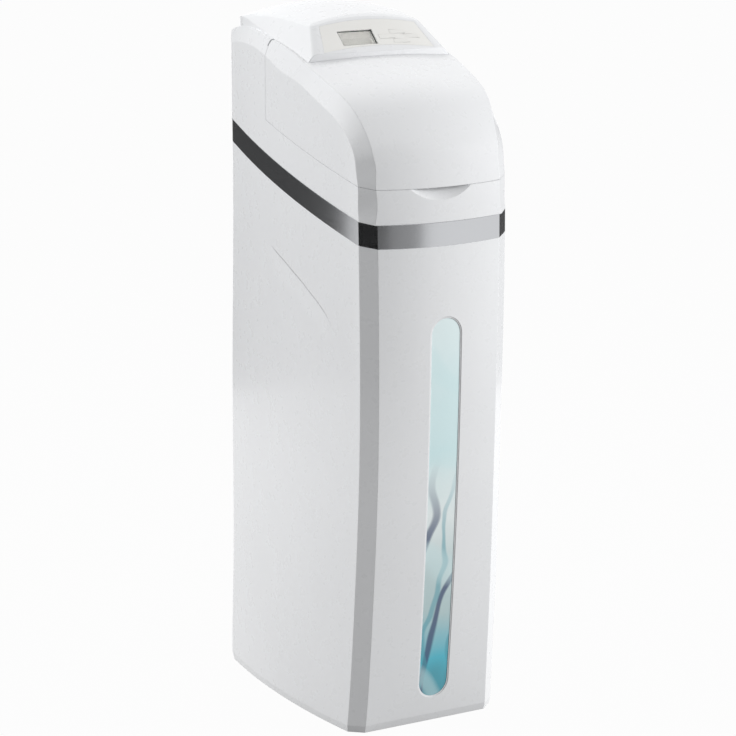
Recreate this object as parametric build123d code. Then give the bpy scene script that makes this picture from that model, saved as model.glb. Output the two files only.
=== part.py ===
# Cabinet water softener: one tall cabinet that holds a resin vessel, its valve and a brine well.
# Millimetres, +Z up, front towards -Y, origin at the centre of the footprint on the floor.
import os
from math import atan, cos, hypot, pi, radians, sin, sqrt, tan

from build123d import *

# Overall sizes of the cabinet
form_top = 1130.0
front_reach = 251.8
rear_reach = 218.0
waist_half_width = 127.0
waist_height = 496.5
base_flare = 6.1
top_flare = 2.6
flare_top = 780.0
base_tuck = 34.1
lean_height = 667.4
side_bow = 14.0
front_bow = 10.0
base_bow = 0.2
facet_width = 22.3
facet_depth = 19.0
rear_corner_radius = 23.0
rear_corner_growth = 19.0
wall = 3.2
foot_inset = 2.4
foot_height = 12.0
floor_thickness = 6.0
cut_overrun = 40.0
running_fit = 0.05
fixed_fit = 0.1
seam_gap = 0.6
surface_gap = 0.3

# Tilted band between cabinet and cover
seam_slope = 14.4
band_low = 841.2
band_height = 36.0
bezel_height = 52.0
band_thickness = 1.4
band_proud = 0.3

# Cover and lid
ridge_height = 1078.0
crown_low = 760.0
cover_depth = 470.0
top_crown = 9.0
shoulder_drop = 30.0
fan_axis_y = 14.0
fan_axis_z = 780.0
lid_rear_y = 44.0
lid_wall = 3.0
hinge_y = 32.0
hinge_z = 1056.0
lid_end_radius = 12.0
pivot_notch = 2.5
hinge_pin_radius = 3.0
hinge_boss_radius = 7.0
hinge_boss_length = 5.0
cheek_half_width = 126.0
cheek_wall = 2.6
hump_front_y = -68.0
mouth_half_width = 105.0
mouth_front_y = -222.0
mouth_rear_y = -80.0
deck_thickness = 2.6
grip_half_width = 66.0
grip_drop = 24.0
grip_depth = 20.0

# Hump that carries the controls
hump_low = 1000.0
hump_foot = 1056.2
hump_high = 1116.0
hump_lean = 0.70
hump_rear_y = 196.0
hump_rear_lean = 0.9
hump_corner = 12.0
hump_rear_corner = 75.0
hump_edge = 4.0
hump_bow = 8.0
hump_crest = 1106.0

# Control panel on the slope of the hump
panel_slope = 41.6
panel_foot_y = -76.0
panel_foot_z = 1050.0
panel_low_half = 98.0
panel_high_half = 85.0
panel_low = 7.0
panel_high = 62.0
panel_arch = 7.0
panel_thickness = 1.6
lcd_x = -30.0
lcd_up = 32.5
lcd_width = 61.0
lcd_height = 31.0
lens_thickness = 1.2
lens_set_back = 1.6
button_width = 27.0
button_depth = 8.0
button_gap = 0.4
button_travel = 1.0
button_stem = 7.0
button_proud = 0.4
button_side_step = 22.5
button_up_step = 9.8
button_centre_x = 43.5
button_centre_up = 31.5
board_thickness = 1.6
board_drop = 11.0

# Front strip
strip_x = 9.0
strip_low = 43.0
strip_high = 662.0
strip_half_width = 25.5
strip_set_back = 1.4
strip_thickness = 1.6
strip_rim = 2.2
strip_rim_step = 0.7

# Resin vessel
vessel_y = 100.0
vessel_radius = 103.0
vessel_wall = 3.5
vessel_foot = 14.0
vessel_dome = 56.0
vessel_dish_shares = (0.62, 0.252)
vessel_top = 905.0
neck_radius = 38.0
neck_height = 26.0
boot_radius = 92.0
boot_height = 46.0
boot_wall = 4.0
riser_radius = 13.3
riser_bore = 10.9
basket_radius = 19.0
basket_height = 58.0
basket_bore = 14.0
slot_width = 2.0
slot_count = 12
resin_high = 600.0

# Valve head
valve_radius = 46.0
valve_high = 978.0
chamber_radius = 36.0
chamber_height = 18.0
bonnet_thickness = 8.0
rotor_radius = 35.6
rotor_thickness = 8.0
spindle_radius = 6.0
port_x = 38.0
port_z = 962.0
port_radius = 15.0
port_bore = 11.0
port_reach = 208.0
gear_module = 1.5
gear_teeth = 48
pinion_teeth = 12
gear_thickness = 6.0
gear_holes = 6
gear_backlash = 0.15
dedendum_share = 1.25
pressure_angle = 20.0
post_radius = 3.0
bridge_post_reach = 41.5
bridge_thickness = 3.0
motor_radius = 17.0
motor_height = 19.0
motor_shaft_radius = 2.0
turbine_radius = 9.8
turbine_length = 9.0
turbine_hub_radius = 3.0
turbine_pin_radius = 1.25
turbine_blades = 4

# Small fittings on the valve
seat_depth = 10.0
brine_stub_radius = 6.0
brine_nut_length = 4.0
brine_fitting_x = 24.0
brine_fitting_z = 940.0
injector_radius = 9.0
injector_z = 930.0
drain_seat_z = 930.0
drain_barb_z = 996.0
drain_riser_y = 160.0
drain_barb_length = 28.0
barb_shoulder = 1.5

# Bypass at the rear
bypass_block_y = 196.0
bypass_block_depth = 36.0
bypass_block_height = 44.0
bypass_block_width = 118.0
bypass_bore = 8.0
stub_radius = 16.6
stub_length = 16.0
knob_radius = 13.0
knob_height = 16.0
plug_radius = 8.0
clip_width = 5.0
clip_thickness = 2.0

# Brine well and its float
well_x = 58.0
well_y = -130.0
well_radius = 40.0
well_wall = 2.5
well_high = 820.0
well_cap_skirt = 12.0
well_slot_width = 4.0
well_slot_height = 60.0
well_slot_count = 6
float_radius = 24.0
float_height = 42.0
float_low = 470.0
float_travel = 30.0
rod_radius = 3.0
stop_radius = 7.5
valve_can_radius = 16.0
valve_can_height = 60.0
valve_can_high = 800.0
pickup_radius = 14.0
pickup_height = 46.0
hose_radius = 4.75
hose_bore = 3.2
hose_bend = 24.0
hose_start_run = 62.4
hose_middle_run = 81.6
hose_middle_rise = 52.8
hose_end_run = 38.4
hose_across_shares = (0.82, 0.60)
platform_z = 90.0
platform_thickness = 5.0
platform_hole = 9.0
platform_pitch = 26.0
platform_leg_radius = 9.0
platform_rows = 5
platform_columns = 8
platform_start_share = 1.2
platform_clear_share = 1.5

# Fittings through the rear wall
overflow_x = 76.0
overflow_z = 690.0
overflow_radius = 6.5
overflow_nut_radius = 15.0
overflow_barb_length = 26.0
jack_x = 75.0
jack_z = 985.0
jack_radius = 6.0
jack_flange_radius = 8.4
rear_opening_half = 62.0
rear_opening_high = 1008.0
screw_radius = 2.0
screw_head_radius = 4.2
screw_length = 12.0
screw_x = 80.0

slope = tan(radians(seam_slope))
band_high = band_low + band_height
lid_seam = band_high + bezel_height
everywhere = 2 * form_top


def shares(count):
    return [step / (count - 1) for step in range(count)]


# Laws of the cabinet's outline, by height

def half_width(z):
    away = (z - waist_height) / waist_height
    if z < waist_height:
        return waist_half_width + base_flare * away ** 2
    return waist_half_width + top_flare * min(1.0, (z - waist_height) / (flare_top - waist_height))


def front_y(z):
    return -front_reach + base_tuck * ((z - lean_height) / lean_height) ** 2


def bow_at(z):
    return base_bow + (front_bow - base_bow) * min(1.0, z / band_low)


def rear_corner_at(z):
    share = (z - waist_height) / (flare_top - waist_height)
    return rear_corner_radius + rear_corner_growth * min(1.0, max(0.0, share))


def plan_face(z, inset=0.0, facets=True, front_extra=0.0):
    """One level section of the cabinet: bowed front, two facets, bowed sides, round rear corners."""
    half = half_width(z) - inset
    front = front_y(z) + inset - front_extra
    rear = rear_reach - inset
    corner = rear_corner_at(z) - inset
    slant = hypot(facet_width, facet_depth)
    facet_x = half_width(z) - facet_width - (slant - facet_width) * inset / facet_depth
    facet_y = front_y(z) + facet_depth + (slant - facet_depth) * inset / facet_width
    side_mid = (facet_y + rear - corner) / 2
    bend = corner * (1 - sqrt(0.5))
    left = [(-half, facet_y), (-half - side_bow, side_mid), (-half, rear - corner)]
    with BuildSketch(Plane.XY.offset(z)) as section:
        with BuildLine():
            if facets:
                ThreePointArc((facet_x, front), (0, front - bow_at(z)), (-facet_x, front))
                Line((-facet_x, front), left[0])
            else:
                Polyline((half, facet_y), (half, front), (-half, front), left[0])
            ThreePointArc(*left)
            ThreePointArc(left[2], (-half + bend, rear - bend), (-half + corner, rear))
            Line((-half + corner, rear), (half - corner, rear))
            ThreePointArc((half - corner, rear), (half - bend, rear - bend), (half, rear - corner))
            ThreePointArc((half, rear - corner), (half + side_bow, side_mid), (half, facet_y))
            if facets:
                Line((half, facet_y), (facet_x, front))
        make_face()
    return section.sketch


# Heights of the sections of every wall, as shares of the form's height
form_shares = [0.0, 0.14, 0.29, 0.44, 0.57, 0.690265, 0.85, 1.0]


def form(inset=0.0):
    """The cabinet's outer form, or the same form moved inwards."""
    return loft([plan_face(form_top * share, inset) for share in form_shares])


def foot_form():
    """All the cabinet's outside may fill: its sides draw in over the lowest few millimetres."""
    skirt = loft([plan_face(0, foot_inset), plan_face(2 * foot_height, -foot_inset)], ruled=True)
    return skirt + block(-form_top, form_top, -form_top, form_top, 2 * foot_height, everywhere)


def tilted_slab(low, high):
    """Everything between two planes parallel to the band; the heights are taken at y = 0."""
    base = Plane(origin=(0, 0, low), x_dir=(1, 0, 0), z_dir=(0, -slope, 1))
    thickness = (high - low) * cos(radians(seam_slope))
    return extrude(base * Rectangle(2 * everywhere, 2 * everywhere), amount=thickness)


def block(x0, x1, y0, y1, z0, z1):
    return Pos((x0 + x1) / 2, (y0 + y1) / 2, (z0 + z1) / 2) * Box(x1 - x0, y1 - y0, z1 - z0)


def rod(start, end, radius):
    """A round bar from one point to another."""
    path = Vector(*end) - Vector(*start)
    plane = Plane(origin=start, z_dir=path.normalized())
    return extrude(plane * Circle(radius), amount=path.length)


def ring(start, end, radius, bore):
    return rod(start, end, radius) - rod(start, end, bore)


def save(name, shape):
    solids = shape.solids()
    piece = solids[0] if len(solids) == 1 else Compound(solids)
    piece.label = name
    export_step(piece, f"parts/{name}.step")


# Cabinet

def strip_prism(grow=0.0):
    """The front strip's round-ended outline, driven through the front wall along Y."""
    radius = strip_half_width + grow
    length = strip_high - strip_low + 2 * grow
    middle = (strip_low + strip_high) / 2
    face = Plane(origin=(strip_x, -front_reach - cut_overrun, middle), x_dir=(1, 0, 0), z_dir=(0, 1, 0))
    return extrude(face * SlotOverall(length, 2 * radius, rotation=90), amount=2 * cut_overrun)


def make_cabinet():
    under_band = tilted_slab(-2 * form_top, band_low)
    outside = form() & foot_form()
    inner = form(wall)
    pocket = strip_set_back + strip_thickness
    backing = (form(wall - fixed_fit) & strip_prism(wall)) - form(pocket + wall)
    body = (outside - (inner & above_floor())) & under_band
    lip = (form(band_thickness + fixed_fit) - inner) & tilted_slab(band_low - wall, band_high)
    body = body + lip + backing
    return body - (strip_prism() - form(pocket)) - (strip_prism(strip_rim) - form(strip_rim_step))


def above_floor():
    """Everything above the cabinet's floor plate."""
    return block(-everywhere, everywhere, -everywhere, everywhere, floor_thickness, everywhere)


def make_strip():
    return strip_prism(-fixed_fit) & (form(strip_set_back) - form(strip_set_back + strip_thickness))


def make_band():
    band = form(-band_proud) - form(band_thickness)
    return band & tilted_slab(band_low, band_high)


# Cover and lid, both cut from one shell

# Ridge line in side view: depth share, height share, share of the drop down to the side wall
crown_shares = [
    (0.0014, 0.000, 0.64),
    (0.0043, 0.220, 0.64),
    (0.0110, 0.377, 0.62),
    (0.0280, 0.509, 0.64),
    (0.0560, 0.591, 0.68),
    (0.1187, 0.704, 0.90),
    (0.1780, 0.758, 0.98),
    (0.2660, 0.811, 0.95),
    (0.3890, 0.876, 0.92),
    (0.6210, 0.962, 0.88),
    (0.8210, 1.000, 0.88),
    (0.9620, 0.969, 0.88),
    (1.0940, 0.849, 0.88),
    (1.2380, 0.629, 0.88),
    (1.3440, 0.314, 0.88),
]
ridge_half_shares = [
    0.827, 0.827, 0.827, 0.838, 0.858, 0.915, 0.950, 0.978,
    0.996, 1.000, 0.970, 0.912, 0.880, 0.870, 0.870,
]
ridge_half_width = 131.5

# The blade that cuts one shoulder: how far its corners lie from the edge, as shares of its legs
blade_near_share = 0.7
blade_far_share = 2.0
blade_out_share = 5.0


# Stations below the bend, which get one more between each pair
upright_stations = 3


def side_bow_at(y, z):
    start = front_y(z) + facet_depth
    end = rear_reach - rear_corner_at(z)
    share = min(1.0, max(0.0, (y - start) / (end - start)))
    return side_bow * (1 - (2 * share - 1) ** 2)


def between(values, place):
    """A value at a station, or part of the way to the next."""
    index = min(int(place), len(values) - 2)
    return values[index] + (place - index) * (values[index + 1] - values[index])


def ridge_station(place):
    """A ridge point in side view, the way in from it, the ridge's half width and the shoulder's fall."""
    depth_share, height_share, drop_share = [between(column, place) for column in zip(*crown_shares)]
    y = -front_reach + depth_share * cover_depth
    z = crown_low + height_share * (ridge_height - crown_low)
    reach = hypot(fan_axis_y - y, fan_axis_z - z)
    inward = Vector(0, (fan_axis_y - y) / reach, (fan_axis_z - z) / reach)
    ridge_x = between(ridge_half_shares, place) * ridge_half_width
    return Vector(0, y, z), inward, ridge_x, drop_share * shoulder_drop


def crown_profile(x, inset):
    """The cover's outline in the plane at x, from the floor of the front up and over to the rear."""
    points = []
    for index in range(len(crown_shares)):
        ridge, inward, ridge_x, drop = ridge_station(index)
        points.append(ridge + inward * (inset - top_crown * (1 - (x / ridge_x) ** 2)))
    with BuildSketch(Plane(origin=(0, 0, 0), x_dir=(0, 1, 0), z_dir=(1, 0, 0))) as section:
        with BuildLine():
            Spline([(point.Y, point.Z) for point in points])
            Line((points[-1].Y, points[-1].Z), (points[0].Y, points[0].Z))
        make_face()
    return Pos(x, 0, 0) * section.sketch


def shoulder(side, inset):
    """What the chamfer along one shoulder takes away, from the front facet over the bend to the rear."""
    places = [step / 2 for step in range(2 * upright_stations)]
    places = places + list(range(upright_stations, len(crown_shares)))
    sections = []
    for place in places:
        ridge, inward, ridge_x, drop = ridge_station(place)
        edge = ridge + inward * drop
        leg = half_width(edge.Z) + side_bow_at(edge.Y, edge.Z) - ridge_x
        slant = hypot(leg, drop)
        across = Vector(side * leg, 0, 0) + inward * drop
        shift = Vector(-side * drop, 0, 0) + inward * leg
        start = Vector(side * ridge_x, ridge.Y, ridge.Z) + shift * (inset / slant)
        near = start - across * blade_near_share
        far = start + across * blade_far_share
        apex = near + Vector(side * blade_out_share * leg, 0, 0) - inward * drop
        sections.append(make_face(Polyline(near, far, apex, close=True)))
    return loft(sections)


def crown_form(inset=0.0):
    """The whole top of the cover: front, bend, shoulders and crowned top, before the hump."""
    reach = waist_half_width + side_bow + cut_overrun
    top = loft([crown_profile(reach * (2 * share - 1), inset) for share in shares(5)])
    outline = Pos(0, 0, lean_height - band_low) * plan_face(band_low, inset, False, cut_overrun)
    block_form = extrude(outline, amount=form_top - lean_height)
    return (block_form & top) - shoulder(1, inset) - shoulder(-1, inset)


def hump_half_at(z, inset=0.0):
    return cheek_half_width - hump_lean * (z - hump_foot) - inset


def hump_outline(z, inset):
    """The hump's outline in a plane parallel to the band, which is z high at y = 0."""
    stretch = 1 / cos(radians(seam_slope))
    half = hump_half_at(z, inset)
    run = 1 / tan(radians(panel_slope))
    front = (panel_foot_y + inset / sin(radians(panel_slope)) + run * (z - panel_foot_z)) / (1 - run * slope)
    middle = (front - hump_bow / 2) * stretch
    front = (front + hump_bow / 2) * stretch
    rear = (hump_rear_y - hump_rear_lean * (z - hump_foot) - inset) * stretch
    corner = hump_corner
    bend = corner * (1 - sqrt(0.5))
    plane = Plane(origin=(0, 0, z), x_dir=(1, 0, 0), z_dir=(0, -slope, 1))
    with BuildSketch(plane) as section:
        with BuildLine():
            ThreePointArc((half - corner, front), (0, middle), (-half + corner, front))
            ThreePointArc((-half + corner, front), (-half + bend, front + bend), (-half, front + corner))
            Line((-half, front + corner), (-half, rear - corner))
            ThreePointArc((-half, rear - corner), (-half + bend, rear - bend), (-half + corner, rear))
            Line((-half + corner, rear), (half - corner, rear))
            ThreePointArc((half - corner, rear), (half - bend, rear - bend), (half, rear - corner))
            Line((half, rear - corner), (half, front + corner))
            ThreePointArc((half, front + corner), (half - bend, front + bend), (half - corner, front))
        make_face()
    return section.sketch


# Crest of the hump in side view: depth share from the panel's foot to the rear, share of the rise above it
hump_crest_shares = [(-0.10, 0.60), (0.26, 0.84), (0.50, 0.98), (0.80, 0.99), (1.05, 0.66), (1.20, 0.25)]


def hump_top(inset):
    length = hump_rear_y - panel_foot_y
    rise = hump_crest - panel_foot_z
    wide = waist_half_width + cut_overrun
    crown = top_crown * (wide / panel_high_half) ** 2
    sections = []
    for depth_share, rise_share in hump_crest_shares:
        y = panel_foot_y + depth_share * length
        z = panel_foot_z + rise_share * rise - inset
        eaves = z - crown + top_crown
        with BuildSketch(Plane(origin=(0, y, 0), x_dir=(1, 0, 0), z_dir=(0, -1, 0))) as section:
            with BuildLine():
                ThreePointArc((-wide, eaves), (0, z + top_crown), (wide, eaves))
                Polyline((wide, eaves), (wide, crown_low), (-wide, crown_low), (-wide, eaves))
            make_face()
        sections.append(section.sketch)
    return loft(sections)


def hump_sides(inset=0.0):
    return loft([hump_outline(hump_low, inset), hump_outline(hump_high, inset)], ruled=True)


def hump_form(inset=0.0):
    """The hump over the controls; outside, the edge round its crest is broken."""
    solid = hump_sides(inset) & hump_top(inset)
    if inset == 0:
        crest = solid.faces().sort_by(Axis.Z)[-1]
        solid = chamfer(crest.edges(), hump_edge)
    return solid & hump_zone(-inset)


def hump_zone(grow=0.0):
    """The level area inside the lid's arms, which the fixed cover keeps."""
    half = cheek_half_width + grow
    front = hump_front_y - grow
    rear = rear_reach + grow
    corner = hump_rear_corner + grow
    bend = corner * (1 - sqrt(0.5))
    with BuildSketch(Plane.XY.offset(crown_low)) as section:
        with BuildLine():
            ThreePointArc((half, front), (0, front - hump_bow), (-half, front))
            Line((-half, front), (-half, rear - corner))
            ThreePointArc((-half, rear - corner), (-half + bend, rear - bend), (-half + corner, rear))
            Line((-half + corner, rear), (half - corner, rear))
            ThreePointArc((half - corner, rear), (half - bend, rear - bend), (half, rear - corner))
            Line((half, rear - corner), (half, front))
        make_face()
    return extrude(section.sketch, amount=form_top - crown_low + cut_overrun)


def hinge_bar(radius):
    return rod((-form_top, hinge_y, hinge_z), (form_top, hinge_y, hinge_z), radius)


def lid_zone(gap):
    """Where the lid is: above the seam, ahead of the rear housing and outside the hump."""
    nose_y = hinge_y - lid_end_radius
    front_part = block(-form_top, form_top, -form_top, nose_y - gap, crown_low, everywhere)
    low_part = block(-form_top, form_top, -form_top, lid_rear_y - gap, crown_low, hinge_z)
    nose_end = hinge_y - hinge_pin_radius
    nose = block(-form_top, form_top, nose_y - hinge_pin_radius, nose_end, hinge_z, everywhere)
    nose = nose & hinge_bar(lid_end_radius + pivot_notch - 2 * gap)
    zone = low_part + front_part + hinge_bar(lid_end_radius - gap) + nose
    return (zone & tilted_slab(lid_seam + gap, 4 * form_top)) - hump_zone(gap)


def hinge_spots():
    return [-1, 1]


def make_lid(outside, inside, middle):
    lid = (outside - inside) & lid_zone(seam_gap / 2)
    for side in hinge_spots():
        start = side * (cheek_half_width + seam_gap)
        boss = rod((start, hinge_y, hinge_z), (side * form_top, hinge_y, hinge_z), hinge_boss_radius)
        lid = lid + (boss & middle)
        tip = side * (cheek_half_width + hinge_boss_length + fixed_fit)
        lid = lid - rod((0, hinge_y, hinge_z), (tip, hinge_y, hinge_z), hinge_pin_radius + running_fit)
    return lid


def panel_plane():
    a = radians(panel_slope)
    return Plane(origin=(0, panel_foot_y, panel_foot_z), x_dir=(1, 0, 0), z_dir=(0, -sin(a), cos(a)))


def panel_prism(shrink=0.0, low=-cut_overrun, high=cut_overrun):
    """The panel's arched outline, driven square to the slope of the hump."""
    base = panel_low + shrink
    top = panel_high - shrink
    low_half = panel_low_half - shrink
    high_half = panel_high_half - shrink
    with BuildSketch(panel_plane().offset(low)) as section:
        with BuildLine():
            ThreePointArc((-low_half, base), (0, base + panel_arch), (low_half, base))
            Line((low_half, base), (high_half, top))
            ThreePointArc((high_half, top), (0, top + panel_arch), (-high_half, top))
            Line((-high_half, top), (-low_half, base))
        make_face()
    return extrude(section.sketch, amount=high - low)


def button_places():
    return {
        "left": (button_centre_x - button_side_step, button_centre_up),
        "right": (button_centre_x + button_side_step, button_centre_up),
        "up": (button_centre_x, button_centre_up + button_up_step),
        "down": (button_centre_x, button_centre_up - button_up_step),
    }


def panel_bar(x, up, width, depth, low, high, corner):
    """A rounded bar square to the panel."""
    plane = panel_plane().offset(low)
    return extrude(plane * Pos(x, up) * RectangleRounded(width, depth, corner), amount=high - low)


def panel_rise(x):
    """How far the bowed front of the hump stands out from the panel's flat plane."""
    share = x / panel_high_half
    return hump_bow * sin(radians(panel_slope - seam_slope)) * (1 / 2 - share ** 2)


def salt_mouth():
    corner = hump_corner
    middle = (mouth_front_y + mouth_rear_y) / 2
    outline = RectangleRounded(2 * mouth_half_width, mouth_rear_y - mouth_front_y, corner)
    return extrude(Pos(0, middle, crown_low) * outline, amount=form_top - crown_low)


def grip_ball(grow=0.0):
    """A large ball that leaves a crescent under the lid's front edge."""
    seam_z = lid_seam - front_reach * slope
    arc = (grip_half_width ** 2 + grip_drop ** 2) / (2 * grip_drop)
    rise = arc - grip_drop
    out = (arc ** 2 - rise ** 2 - grip_depth ** 2) / (2 * grip_depth)
    centre = (0, -front_reach - bow_at(band_high) - out, seam_z + rise)
    return Pos(*centre) * Sphere(hypot(arc, out) + grow)


def board_posts():
    reach_x = panel_high_half - 3 * button_depth
    heights = (panel_low + button_depth, panel_high - button_depth)
    return [(side * reach_x, up) for side in (-1, 1) for up in heights]


def make_cover(outside, inside, middle):
    above_band = tilted_slab(band_high, 4 * form_top)
    cover = (outside - inside) & above_band
    cover = cover - lid_zone(0)
    ahead = block(-everywhere, everywhere, -everywhere, lid_rear_y + lid_wall, crown_low, everywhere)
    behind_mouth = hump_zone(-cheek_wall)
    deck = middle & tilted_slab(lid_seam - deck_thickness, lid_seam) & ahead
    cover = cover + (deck - salt_mouth() - behind_mouth)
    above_deck = tilted_slab(lid_seam - deck_thickness, 4 * form_top)
    cheeks = (hump_zone() - behind_mouth) & ahead & above_deck & middle
    cover = cover + cheeks
    end_wall = block(-everywhere, everywhere, lid_rear_y, lid_rear_y + lid_wall, crown_low, everywhere)
    cover = cover + ((end_wall & middle & above_deck) - behind_mouth)
    above_hinge = block(-everywhere, everywhere, hinge_y, everywhere, hinge_z, everywhere)
    notch = hinge_bar(lid_end_radius + pivot_notch) & above_hinge
    notch = notch + block(-everywhere, everywhere, hinge_y - lid_end_radius, hinge_y, hinge_z, everywhere)
    cover = cover - (notch - hump_zone())
    scoop_wall = (grip_ball(lid_wall) & inside & tilted_slab(band_high, lid_seam)) - salt_mouth()
    cover = cover + scoop_wall - (grip_ball() & tilted_slab(band_high, lid_seam + lid_wall))
    for side in hinge_spots():
        inner = side * (cheek_half_width - cheek_wall - hinge_boss_length)
        outer = side * (cheek_half_width - fixed_fit)
        cover = cover + rod((inner, hinge_y, hinge_z), (outer, hinge_y, hinge_z), hinge_boss_radius)
        start = (side * (cheek_half_width - 2 * hinge_boss_length), hinge_y, hinge_z)
        cover = cover - rod(start, (side * (cheek_half_width + seam_gap), hinge_y, hinge_z), hinge_pin_radius)
    rear_low = band_high + (rear_reach - 2 * wall) * slope
    opening = block(-rear_opening_half, rear_opening_half, rear_reach - rear_corner_radius,
                    everywhere, rear_low - cut_overrun, rear_opening_high)
    cover = cover - opening
    cover = cover - rod((jack_x, rear_reach - cut_overrun, jack_z), (jack_x, everywhere, jack_z), jack_radius)
    tongue_low = band_high - band_height / 2
    tongue_inside = form(wall + fixed_fit + lid_wall)
    tongue = form(wall + fixed_fit) - tongue_inside
    bridge = form(lid_wall / 2) - tongue_inside
    cover = cover + (tongue & tilted_slab(tongue_low, band_high + lid_wall))
    cover = cover + (bridge & tilted_slab(band_high, band_high + lid_wall))
    pocket = panel_prism() & (hump_sides(-cut_overrun / 2) - hump_sides(panel_thickness))
    cover = cover - pocket
    window = panel_bar(lcd_x, lcd_up, lcd_width, lcd_height, -cut_overrun / 2, cut_overrun / 2, button_gap)
    cover = cover - window
    for x, up in button_places().values():
        wide = button_width + 4 * button_gap
        deep = button_depth + 4 * button_gap
        cover = cover - panel_bar(x, up, wide, deep, -cut_overrun / 4, cut_overrun / 2, button_gap)
    for x, up in board_posts():
        foot = panel_plane().offset(-board_drop) * Pos(x, up)
        cover = cover + (extrude(foot * Circle(post_radius), amount=board_drop) & inside)
        cover = cover - extrude(foot * Circle(screw_radius / 2), amount=board_drop / 2)
    for x in (-screw_x, screw_x):
        cover = cover - screw_hole(x)
    return cover


def screw_z():
    return band_low + band_height / 3 + rear_reach * slope


def screw_hole(x):
    start = (x, rear_reach - screw_length, screw_z())
    return rod(start, (x, rear_reach + screw_length, screw_z()), screw_radius + running_fit)


def make_cover_screws():
    z = screw_z()
    out = rear_reach + band_proud
    screws = []
    for x in (-screw_x, screw_x):
        shank = rod((x, out - screw_length, z), (x, out, z), screw_radius)
        head = rod((x, out, z), (x, out + screw_radius, z), screw_head_radius)
        screws.append(shank + head)
    return Compound(screws)


def make_hinge_pins():
    pins = []
    for side in hinge_spots():
        inner = side * (cheek_half_width - cheek_wall - hinge_boss_length)
        outer = side * (cheek_half_width + hinge_boss_length)
        pin_radius = hinge_pin_radius - running_fit / 2
        pins.append(rod((inner, hinge_y, hinge_z), (outer, hinge_y, hinge_z), pin_radius))
    return Compound(pins)


# Controls under the panel

def make_panel():
    panel = panel_prism(fixed_fit) & (hump_sides(0) - hump_sides(panel_thickness - fixed_fit))
    panel = panel - panel_bar(lcd_x, lcd_up, lcd_width, lcd_height, -cut_overrun, cut_overrun, button_gap)
    for x, up in button_places().values():
        wide = button_width + 2 * button_gap
        deep = button_depth + 2 * button_gap
        panel = panel - panel_bar(x, up, wide, deep, -cut_overrun, cut_overrun, 2 * button_gap)
    return panel


def lens_low():
    return panel_rise(lcd_x) - lens_set_back - lens_thickness


def make_lens():
    width = lcd_width - 2 * fixed_fit
    height = lcd_height - 2 * fixed_fit
    return panel_bar(lcd_x, lcd_up, width, height, lens_low(), lens_low() + lens_thickness, button_gap)


def make_display():
    width = lcd_width - 2 * lens_set_back
    height = lcd_height - 2 * lens_set_back
    return panel_bar(lcd_x, lcd_up, width, height, -board_drop, lens_low(), button_gap)


def stem_low():
    return -board_drop + button_stem / 2 + button_travel + surface_gap


def make_button(x, up):
    top = panel_rise(x) + button_proud
    cap_low = top - 3 * button_travel - panel_thickness
    cap = panel_bar(x, up, button_width, button_depth, cap_low, top, button_gap)
    stem = panel_bar(x, up, button_depth / 2, button_depth / 2, stem_low(), top - button_travel, button_gap)
    return cap + stem


def make_board():
    wide = 2 * (panel_high_half - button_depth)
    deep = panel_high - panel_low
    up = (panel_high + panel_low) / 2
    board = panel_bar(0, up, wide, deep, -board_drop - board_thickness, -board_drop, button_gap)
    for x, up in button_places().values():
        switch_top = -board_drop + button_stem / 2
        board = board + panel_bar(x, up, button_stem, button_stem, -board_drop, switch_top, button_gap)
    for x, up in board_posts():
        plane = panel_plane().offset(-board_drop - board_thickness)
        board = board - extrude(plane * Pos(x, up) * Circle(screw_radius / 2), amount=board_thickness)
    return board


def make_board_screws():
    screws = []
    for x, up in board_posts():
        plane = panel_plane().offset(-board_drop - board_thickness)
        shank = extrude(plane * Pos(x, up) * Circle(screw_radius / 2 - running_fit), amount=board_drop / 3)
        head = extrude(plane * Pos(x, up) * Circle(screw_radius), amount=-screw_radius / 2)
        screws.append(shank + head)
    return Compound(screws)


# Resin vessel and what stands in it

def vessel_form(inset=0.0):
    radius = vessel_radius - inset
    low = vessel_foot + inset
    high = vessel_top - neck_height - inset
    rise = low + vessel_dome
    fall = high - vessel_dome
    neck = neck_radius - inset
    knee = 1 - sqrt(0.5)
    dish_out, dish_up = vessel_dish_shares
    with BuildSketch(Plane.XZ) as section:
        with BuildLine():
            Line((0, vessel_top), (0, low))
            ThreePointArc((0, low), (dish_out * radius, low + dish_up * vessel_dome), (radius, rise))
            Line((radius, rise), (radius, fall))
            bend = (radius - (radius - neck) * knee, high - vessel_dome * knee)
            ThreePointArc((radius, fall), bend, (neck, high))
            Polyline((neck, high), (neck, vessel_top), (0, vessel_top))
        make_face()
    return Pos(0, vessel_y, 0) * revolve(section.sketch, Axis.Z)


def upright(x, y, z0, z1, radius, bore=0.0):
    tube = Pos(x, y, z0) * extrude(Circle(radius), amount=z1 - z0)
    if bore:
        tube = tube - Pos(x, y, z0) * extrude(Circle(bore), amount=z1 - z0)
    return tube


def make_vessel():
    shell = vessel_form() - vessel_form(vessel_wall)
    return shell - upright(0, vessel_y, vessel_top - neck_height, vessel_top, neck_radius - 2 * vessel_wall)


def make_boot():
    cup = upright(0, vessel_y, floor_thickness, floor_thickness + boot_height, boot_radius)
    hollow = upright(0, vessel_y, floor_thickness, vessel_foot, boot_radius - 4 * boot_wall)
    return cup - vessel_form(-fixed_fit) - hollow


def riser_low():
    return vessel_foot + vessel_wall + basket_height / 2


def make_riser():
    return upright(0, vessel_y, riser_low(), vessel_top + riser_radius, riser_radius, riser_bore)


def slots(z0, z1, radius):
    """Narrow upright slots round a basket."""
    cuts = []
    for index in range(slot_count):
        bar = block(radius / 2, 2 * radius, -slot_width / 2, slot_width / 2, z0, z1)
        cuts.append(Pos(0, vessel_y, 0) * Rot(0, 0, index * 360 / slot_count) * bar)
    return cuts


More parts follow.
